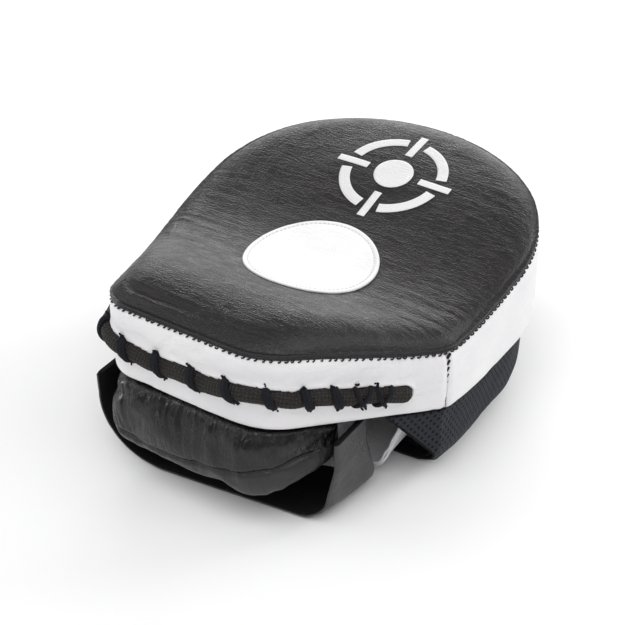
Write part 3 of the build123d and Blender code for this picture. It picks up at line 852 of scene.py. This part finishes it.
def wall_grid():
    """Rows of the whole wall, from under the face to under the pad."""
    rows = []
    tall = seam_ring - floor_ring
    shares = np.r_[-0.03, 0.0, np.linspace(0.02, 0.96, 66), 0.985, 1.0]
    seam_gap = np.abs(ring[:, 1] - WAIST)
    side = np.abs(ring[:, 0]) > 60 * MM
    for share in shares:
        z = seam_ring - tall * share
        drop = tall * share
        rise = tall * (1 - share)
        out = -2.3 * MM * np.exp(-unit(drop) / (2.3 * MM))
        out += 0.55 * MM * math.sin(math.pi * min(1, max(0, share)))
        out -= 2.6 * MM * unit(1 - rise / (4.5 * MM)) ** 2
        out += pucker * 0.42 * MM * np.exp(-drop / (6 * MM))
        spot = np.c_[ring * 1.0, z]
        out += smooth_noise(spot, (34 * MM, 34 * MM, 20 * MM), 9) * 0.75 * MM
        out += smooth_noise(spot, (13 * MM, 13 * MM, 6 * MM), 10) * 0.22 * MM
        creases = smooth_noise(np.c_[arc + drop * 0.8, drop * 0.3, arc * 0], (9 * MM, 5 * MM, 1), 12)
        out -= unit(creases - 0.28) * 0.9 * MM
        out -= 0.85 * MM * hump(seam_gap, 0.9 * MM) * side
        out += 0.35 * MM * hump(seam_gap - 2.6 * MM, 1.6 * MM) * side
        for i in range(RING):
            if ring[i, 1] > -45 * MM:
                continue
            _, k, gap = cord_tree.find((ring[i, 0], ring[i, 1], 0))
            if gap > 6 * MM:
                continue
            away = z[i] - cord_path[k, 2]
            beyond = max(0.0, math.sqrt(max(0.0, gap ** 2 - (1.6 * MM) ** 2)))
            span = math.hypot(away, beyond if k in (0, len(cord_path) - 1) else 0)
            radius = CORD + 0.35 * MM
            if span < radius:
                out[i] = min(out[i], 0.8 * MM - math.sqrt(radius ** 2 - span ** 2))
            else:
                out[i] += 0.9 * MM * math.exp(-((span - radius) / (2.4 * MM)) ** 2)
        plan = ring + outward * out[:, None]
        rows.append(np.c_[plan, z])
    for inset, lift in ((4.4, 0.05), (7.0, 0.35), (9.0, 0.8)):
        rows.append(np.c_[ring - outward * inset * MM, floor_ring + lift * MM])
    return np.array(rows)


wall_rows = wall_grid()
front = ring[:, 1] < WAIST
starts = [i for i in range(RING) if front[i] and not front[i - 1]]
first = starts[0]
turned = np.roll(wall_rows, -first, axis=1)
wrist_count = int(front.sum())


def wall_piece(name, columns, replaced):
    part = turned[:, columns]
    made = loft(name, part, white_leather, wrap=False)
    solid = made.modifiers.new("skin", "SOLIDIFY")
    solid.thickness = 1.4 * MM
    faces_in = made.data.polygons[0].normal.xy.dot(Vector(part[20, 0, :2])) < 0
    solid.offset = 1.0 if faces_in else -1.0
    baked(made)
    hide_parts(*replaced)


wall_piece("wrist_wall_leather", list(range(wrist_count + 1)),
           ("wrist_wall", "foam_core", "foam_back"))
wall_piece("head_wall_leather", list(range(wrist_count, RING)) + [0], ("head_wall", "back_welt"))

dots = Bundle()
for side in (-1, 1):
    k = min((i for i in range(RING) if ring[i, 0] * side > 0), key=lambda i: abs(ring[i, 1] - WAIST))
    top = seam_ring[k]
    for index in range(5):
        z = top - (3.0 + index * 4.0) * MM
        size = (1.15 - 0.17 * index) * MM
        centre = np.r_[ring[k] - outward[k] * 0.15 * MM, z]
        lean = np.r_[tangent[k], 0] * 0.55 + up * rng.uniform(0.5, 1.0)
        dots.tube([centre - lean * size, centre, centre + lean * size * 0.9], 0.55 * size + 0.12 * MM, 8)
    for index in range(9):
        z = top - (24.0 + index * 1.9) * MM
        if z < floor_ring[k] + 2 * MM:
            break
        centre = np.r_[ring[k] - outward[k] * 0.75 * MM, z]
        dots.tube([centre - up * 0.6 * MM, centre + up * 0.6 * MM], 0.2 * MM, 6)
seam_dots = dots.piece("side_seam_thread", seam_thread)
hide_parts("side_seam_stitches")

# ---------------------------------------------------------------- back panel

panel_plan = ring - outward * 3.0 * MM
panel_rows = []
for share, drop in ((0.0, -1.6), (0.0, 0.2), (0.012, 0.9), (0.03, 1.2), (0.06, 1.0), (0.09, 1.25)):
    plan = panel_plan * (1 - share)
    panel_rows.append(np.c_[plan, floor_at(plan[:, 1]) - drop * MM])
for share in np.linspace(0.12, 0.99, 50):
    plan = panel_plan * (1 - share)
    lump = smooth_noise(np.c_[plan, plan[:, 0] * 0], 24 * MM, 13) * 0.35 * MM
    panel_rows.append(np.c_[plan, floor_at(plan[:, 1]) - 1.3 * MM + lump])
panel = loft("back_panel_leather", panel_rows, panel_leather, cap_last=True)
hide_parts("back_panel")

# ---------------------------------------------------------------- wrist cushion


CLOTH_STEPS = 20


def relaxed(made, top, cap):
    """Inflates a piece with a short cloth simulation, held along its top."""
    rest = coordinates(made)
    group = made.vertex_groups.new(name="held")
    group.add([int(i) for i in np.nonzero(rest[:, 2] > top)[0]], 1.0, "REPLACE")
    cloth = made.modifiers.new("cloth", "CLOTH")
    settings = cloth.settings
    settings.quality = 6
    settings.mass = 0.25
    settings.tension_stiffness = 12
    settings.compression_stiffness = 6
    settings.shear_stiffness = 6
    settings.bending_stiffness = 0.25
    settings.use_pressure = True
    settings.uniform_pressure_force = 4.0
    settings.shrink_min = -0.055
    settings.vertex_group_mass = "held"
    settings.effector_weights.gravity = 0
    cloth.point_cache.frame_start = 1
    cloth.point_cache.frame_end = CLOTH_STEPS
    for step in range(1, CLOTH_STEPS + 1):
        bpy.context.scene.frame_set(step)
    graph = bpy.context.evaluated_depsgraph_get()
    moved = bpy.data.meshes.new_from_object(made.evaluated_get(graph))
    after = np.zeros(len(moved.vertices) * 3)
    moved.vertices.foreach_get("co", after)
    made.modifiers.clear()
    bpy.context.scene.frame_set(1)
    bpy.data.meshes.remove(moved)
    shift = after.reshape(-1, 3) - rest
    far = np.linalg.norm(shift, axis=1)
    shift *= (np.minimum(far, cap) / (far + 1e-9))[:, None]
    set_coordinates(made, rest + shift)
    return made


cushion_low, cushion_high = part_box("cushion_upper")
cushion_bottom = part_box("cushion_lower")[0].z
cushion = soft_copy("wrist_cushion", ["cushion_upper", "cushion_lower", "cushion_foam"],
                    3.2 * MM, 5, [gloss_leather, lower_leather])
relaxed(cushion, cushion_high.z - 5 * MM, 3.5 * MM)
co = coordinates(cushion)
lead = unit((cushion_low.y + 13 * MM - co[:, 1]) / (12 * MM))
body = np.sin(unit((co[:, 2] - cushion_bottom) / (cushion_high.z - cushion_bottom)) * math.pi) ** 0.7
leftness = unit((0.0 - co[:, 0]) / (70 * MM))
co[:, 0] -= 5.5 * MM * leftness ** 2 * lead * body
co[:, 1] -= 5.0 * MM * lead * body * unit((cushion_high.x - co[:, 0]) / (40 * MM))
set_coordinates(cushion, co)
divide = cushion.modifiers.new("divide", "SUBSURF")
divide.levels = 2
baked(cushion)


def cushion_seam(x):
    """Height of the seam between the cushion's two panels."""
    left, right = cushion_low.x, cushion_high.x
    t = unit((np.asarray(x) - left) / (right - left))
    return (31.0 * (1 - t) * (1 - 2 * t) + 33.0 * 4 * t * (1 - t) + 48.0 * t * (2 * t - 1)) * MM


co = coordinates(cushion)
off_seam = co[:, 2] - cushion_seam(co[:, 0])
wrinkle = smooth_noise(co + np.c_[co[:, 2] * 0.25, co[:, 2] * 0, co[:, 2] * 0],
                       (2.3 * MM, 30 * MM, 17 * MM), 14)
cluster = unit(smooth_noise(co, (19 * MM, 60 * MM, 40 * MM), 15) * 1.7 + 0.35)
amount = -1.5 * MM * unit(wrinkle - 0.06) * cluster * unit(off_seam / (4 * MM))
amount += smooth_noise(co, 24 * MM, 16) * 0.9 * MM
tucks = smooth_noise(co, (5.5 * MM, 30 * MM, 12 * MM), 17)
amount += np.clip(tucks, -1, 1) * 0.8 * MM * hump(off_seam, 7 * MM) * (off_seam < 0)
amount -= 1.5 * MM * hump(off_seam, 1.3 * MM)
amount *= unit((cushion_high.z - co[:, 2]) / (3 * MM))
amount *= unit((cushion_high.x - 2 * MM - co[:, 0]) / (8 * MM))
push(cushion, amount)
for polygon in cushion.data.polygons:
    centre = polygon.center
    polygon.material_index = 0 if centre.z > cushion_seam(centre.x) else 1
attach(cushion, "mitt")
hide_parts("cushion_upper", "cushion_lower", "cushion_foam")

cushion_skin = skin_tree(cushion)
seam_run = Bundle()
seam_points = []
for x in np.linspace(cushion_low.x + 3 * MM, cushion_high.x - 4 * MM, 150):
    z = float(cushion_seam(x))
    hit = cushion_skin.ray_cast(Vector((x, -0.3, z)), Vector((0, 1, 0)))[0]
    if hit is not None and hit.y < -0.06:
        seam_points.append((x, hit.y, z))
seam_points = np.array(seam_points)
seam_run.tube(seam_points + np.array([0, 0.25 * MM, 0]), 0.75 * MM, 8)
cushion_welt = seam_run.piece("cushion_seam_welt", welt_leather)
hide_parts("cushion_welt")
seam_stitching = Bundle()
run = run_along(seam_points)
for place in np.arange(2 * MM, run[-1] - 2 * MM, 3.0 * MM):
    ends = [np.array([np.interp(place + d, run, seam_points[:, k]) for k in range(3)])
            for d in (-0.9 * MM, 0, 0.9 * MM)]
    lift = np.array([0, -0.55 * MM, 1.0 * MM])
    seam_stitching.tube([ends[0] + lift * 0.6, ends[1] + lift, ends[2] + lift * 0.6], 0.3 * MM, 6)
cushion_sewing = seam_stitching.piece("cushion_sewing", seam_thread)

# ---------------------------------------------------------------- palm grip

grip = soft_copy("palm_grip_dome", ["palm_grip_cover", "palm_grip_foam"], 2.5 * MM, 6, panel_leather)
grip_low, grip_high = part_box("palm_grip_cover")
grip_middle = np.array((grip_low + grip_high) / 2)
co = coordinates(grip)
reach = np.hypot(co[:, 0] - grip_middle[0], co[:, 1] - grip_middle[1])
turn = np.arctan2(co[:, 1] - grip_middle[1], co[:, 0] - grip_middle[0])
gather = np.sin(turn * 26) * unit(reach / (30 * MM) - 0.55) * 0.8 * MM
push(grip, (gather + smooth_noise(co, 11 * MM, 18) * 0.5 * MM)
     * unit((grip_high.z - co[:, 2]) / (4 * MM)))
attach(grip, "mitt")
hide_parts("palm_grip_cover", "palm_grip_foam")

# ---------------------------------------------------------------- finger hood

hood = soft_copy("finger_hood_mesh", ["finger_hood"], 1.1 * MM, 3, mesh_cloth)
hood_low, hood_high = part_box("finger_hood")
co = coordinates(hood)
below = unit((hood_high.z - co[:, 2] - 2 * MM) / (10 * MM))
sag = smooth_noise(co, (38 * MM, 38 * MM, 22 * MM), 19) * 1.6 * MM
sag += smooth_noise(co, (16 * MM, 16 * MM, 9 * MM), 20) * 0.5 * MM
middle_out = co - np.array([0, 20 * MM, 34 * MM])
middle_out /= np.linalg.norm(middle_out, axis=1)[:, None]
ease = unit((co[:, 2] - hood_low.z) / (8 * MM))
set_coordinates(hood, co + middle_out * ((sag - 1.2 * MM) * below * ease)[:, None])
co = coordinates(hood)
turn = np.arctan2(co[:, 0], co[:, 1] - 20 * MM)
depth = np.hypot(co[:, 0], co[:, 1] - 20 * MM)
store(hood, "weave", np.c_[turn * 88 * MM / (3.4 * MM), (depth * 0.75 - co[:, 2]) / (5.2 * MM), turn * 0])
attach(hood, "mitt")
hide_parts("finger_hood")

hem = soft_copy("finger_hood_hem_tape", ["finger_hood_hem"], 0.9 * MM, 1, lining_cloth)
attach(hem, "mitt")
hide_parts("finger_hood_hem")

# ---------------------------------------------------------------- thumb hood

thumb = soft_copy("thumb_hood_leather", ["thumb_hood"], 0.8 * MM, 4, hood_leather)
thumb_low, thumb_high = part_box("thumb_hood")
co = coordinates(thumb)
below = unit((thumb_high.z - co[:, 2] - 2 * MM) / (8 * MM))
thumb_mid = np.array((thumb_low + thumb_high) / 2)
away = co - thumb_mid
away[:, 1] *= 0.3
away /= np.linalg.norm(away, axis=1)[:, None]
bulge = 1.3 * MM * np.sin(unit((co[:, 2] - thumb_low.z) / (thumb_high.z - thumb_low.z)) * math.pi)
crease = -1.7 * MM * hump(co[:, 2] - thumb_high.z + 13 * MM - (co[:, 0] - thumb_mid[0]) * 0.12, 2.2 * MM)
folds = smooth_noise(co, (15 * MM, 20 * MM, 8 * MM), 21) * 1.1 * MM
set_coordinates(thumb, co + away * ((bulge + crease + folds) * below)[:, None] * 0.8)
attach(thumb, "mitt")
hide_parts("thumb_hood")

binding = soft_copy("thumb_hood_binding_tape", ["thumb_hood_binding"], 0.7 * MM, 1, hood_leather)
co = coordinates(binding)
push(binding, smooth_noise(co, 6 * MM, 22) * 0.2 * MM)
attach(binding, "mitt")
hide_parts("thumb_hood_binding")

# ---------------------------------------------------------------- wrist strap

strap_low, strap_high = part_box("strap_root_outer")
end_low, end_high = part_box("strap_end_outer")
middle_low, middle_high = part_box("strap_outer")
THICK = 3.0 * MM
ROOT_BEND = 16 * MM - THICK / 2
END_BEND = middle_low.x - end_low.x - THICK / 2
root_x = strap_high.x - THICK / 2
end_x = end_low.x + THICK / 2
STRAP_TOP = end_high.z


def strap_route():
    """Middle line of the strap in the XZ plane, from its root to its free end."""
    path = [(root_x, z) for z in np.linspace(PANEL + 0.4 * MM, THICK / 2 + ROOT_BEND, 40)]
    for a in np.linspace(0, math.pi / 2, 26)[1:]:
        path.append((root_x - ROOT_BEND + ROOT_BEND * math.cos(a),
                     THICK / 2 + ROOT_BEND - ROOT_BEND * math.sin(a)))
    path += [(x, THICK / 2) for x in np.linspace(root_x - ROOT_BEND, end_x + END_BEND, 80)[1:]]
    for a in np.linspace(0, math.pi / 2, 34)[1:]:
        path.append((end_x + END_BEND - END_BEND * math.sin(a),
                     THICK / 2 + END_BEND - END_BEND * math.cos(a)))
    path += [(end_x, z) for z in np.linspace(THICK / 2 + END_BEND, STRAP_TOP, 30)[1:]]
    return np.array(path)


strap_front_left = end_low.y
strap_front_right = strap_low.y
strap_back = middle_high.y


def strap_front(x):
    t = unit((x - end_low.x) / (strap_high.x - end_low.x))
    return strap_front_left + (strap_front_right - strap_front_left) * t


def strap_half(name, low, high):
    """Part of the strap as a closed band: leather outside, lining inside, rolled edges."""
    line = strap_route()[low:high]
    heading = np.gradient(line, axis=0)
    heading /= np.linalg.norm(heading, axis=1)[:, None]
    side = np.c_[heading[:, 1], -heading[:, 0]]      # towards the inside of the loop
    across = 34
    rows = []
    for point, inward in zip(line, side):
        y0, y1 = strap_front(point[0]), strap_back
        row = []
        spots = []
        half = THICK / 2
        for t in np.linspace(0, 1, across):          # inside surface, front to back
            spots.append((y0 + (y1 - y0) * t, half * min(1.0, 0.35 + 9 * min(t, 1 - t))))
        for t in np.linspace(1, 0, across):          # outside surface, back to front
            spots.append((y0 + (y1 - y0) * t, -half * min(1.0, 0.35 + 9 * min(t, 1 - t))))
        for y, offset in spots:
            px, pz = point + inward * offset
            lowness = max(0.0, 1 - pz / (40 * MM))
            rootness = min(1.0, max(0.0, (px - 5 * MM) / (40 * MM)))
            depth = (y - y0) / (y1 - y0)
            y += 12.5 * MM * lowness * rootness * depth
            px -= 8.5 * MM * rootness * lowness * (1 - depth) ** 1.3
            wave = noise.noise(Vector((px, y, pz)) / (21 * MM)) * 0.55 * MM
            wave += noise.noise(Vector((px * 2.2, y * 0.8, pz * 2.2)) / (9 * MM)) * 0.18 * MM
            px += inward[0] * wave
            pz += inward[1] * wave
            row.append((px, y, max(pz, 0.05 * MM)))
        rows.append(row)
    rows = np.array(rows)
    made = loft(name, rows, [lining_cloth, strap_leather], cap_first=True, cap_last=True, ride=False)
    columns = rows.shape[1]
    for index, polygon in enumerate(made.data.polygons):
        column = index % columns
        polygon.material_index = 0 if column < across - 1 else 1
    bm = bmesh.new()
    bm.from_mesh(made.data)
    bmesh.ops.recalc_face_normals(bm, faces=bm.faces)
    bm.to_mesh(made.data)
    bm.free()
    return made


route = strap_route()
bottom = np.nonzero(np.abs(route[:, 1] - THICK / 2) < 1e-6)[0]
cut = int(bottom[len(bottom) // 2])
near = strap_half("wrist_strap_root", 0, cut + 1)
far = strap_half("wrist_strap_end", cut, len(route))
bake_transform(near)
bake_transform(far)
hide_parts("strap_root_outer", "strap_root_lining", "strap_outer", "strap_lining")
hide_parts("strap_end_outer", "strap_end_lining")

# ---------------------------------------------------------------- hook and loop, anchor


def tape(name, node, paint, body, pile):
    """A thin patch of tape with rounded corners and a ragged pile."""
    made = soft_copy(name, [node], 0.35 * MM, 2, paint)
    co = coordinates(made)
    push(made, smooth_noise(co, 0.9 * MM, 23) * pile)
    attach(made, body)
    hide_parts(node)


tape("hook_tape_patch", "hook_patch", hook_cloth, "strap_end", 0.12 * MM)
tape("loop_tape_patch", "loop_patch", loop_cloth, "mitt", 0.12 * MM)
tape("strap_anchor_tab", "strap_anchor", strap_leather, "mitt", 0.05 * MM)

# ---------------------------------------------------------------- floor, light and camera

bpy.ops.mesh.primitive_plane_add(size=9.0, location=(0, 0, -0.0004))
floor = bpy.context.object
floor.name = "studio_floor"
floor_paint = Paint("floor_paint")
floor_paint.colour(floor_paint.mix(floor_paint.noise(3.0), (0.93, 0.93, 0.93), (0.95, 0.95, 0.95)))
floor.data.materials.append(floor_paint.finish(Roughness=0.75))

world = bpy.data.worlds.new("studio")
bpy.context.scene.world = world
world.use_nodes = True
world.node_tree.nodes["Background"].inputs["Color"].default_value = (1.0, 1.0, 1.0, 1.0)
world.node_tree.nodes["Background"].inputs["Strength"].default_value = 0.36
bpy.context.scene.view_settings.view_transform = "Standard"

TARGET = Vector((0, 16.1 * MM, 70 * MM))


def softbox(name, azimuth, elevation, distance, size, power):
    """A square area light that looks at the mitt."""
    a, e = math.radians(azimuth), math.radians(elevation)
    data = bpy.data.lights.new(name, "AREA")
    data.shape = "RECTANGLE"
    data.size, data.size_y = size
    data.energy = power
    lamp = bpy.data.objects.new(name, data)
    lamp.location = TARGET + Vector((math.sin(a) * math.cos(e), -math.cos(a) * math.cos(e),
                                  math.sin(e))) * distance
    lamp.rotation_mode = "QUATERNION"
    lamp.rotation_quaternion = (TARGET - lamp.location).to_track_quat("-Z", "Y")
    bpy.context.scene.collection.objects.link(lamp)


softbox("front_key", 25, 60, 1.6, (1.1, 1.1), 12)
softbox("left_fill", -62, 40, 1.6, (0.9, 0.9), 4)
softbox("left_low", -70, 7, 1.4, (0.26, 0.26), 3.0)
softbox("right_fill", 95, 50, 1.6, (0.9, 0.9), 5)
softbox("back_low", 207, 15, 1.5, (1.5, 0.36), 10)
softbox("back_right", 141, 27, 1.4, (0.5, 0.5), 6)

VIEW_AZIMUTH, VIEW_ELEVATION, VIEW_DISTANCE = 32.01, 35.25, 816.3 * MM
a, e = math.radians(VIEW_AZIMUTH), math.radians(VIEW_ELEVATION)
back = Vector((math.sin(a) * math.cos(e), -math.cos(a) * math.cos(e), math.sin(e)))
camera_data = bpy.data.cameras.new("camera")
camera_data.sensor_width = 36.0
camera_data.lens = 86.4
camera_data.shift_x = -0.0537
camera_data.shift_y = -0.0507
camera_data.clip_start = 0.02
camera = bpy.data.objects.new("camera", camera_data)
camera.location = TARGET + back * VIEW_DISTANCE
camera.rotation_mode = "QUATERNION"
camera.rotation_quaternion = (-back).to_track_quat("-Z", "Y")
bpy.context.scene.collection.objects.link(camera)
bpy.context.scene.camera = camera
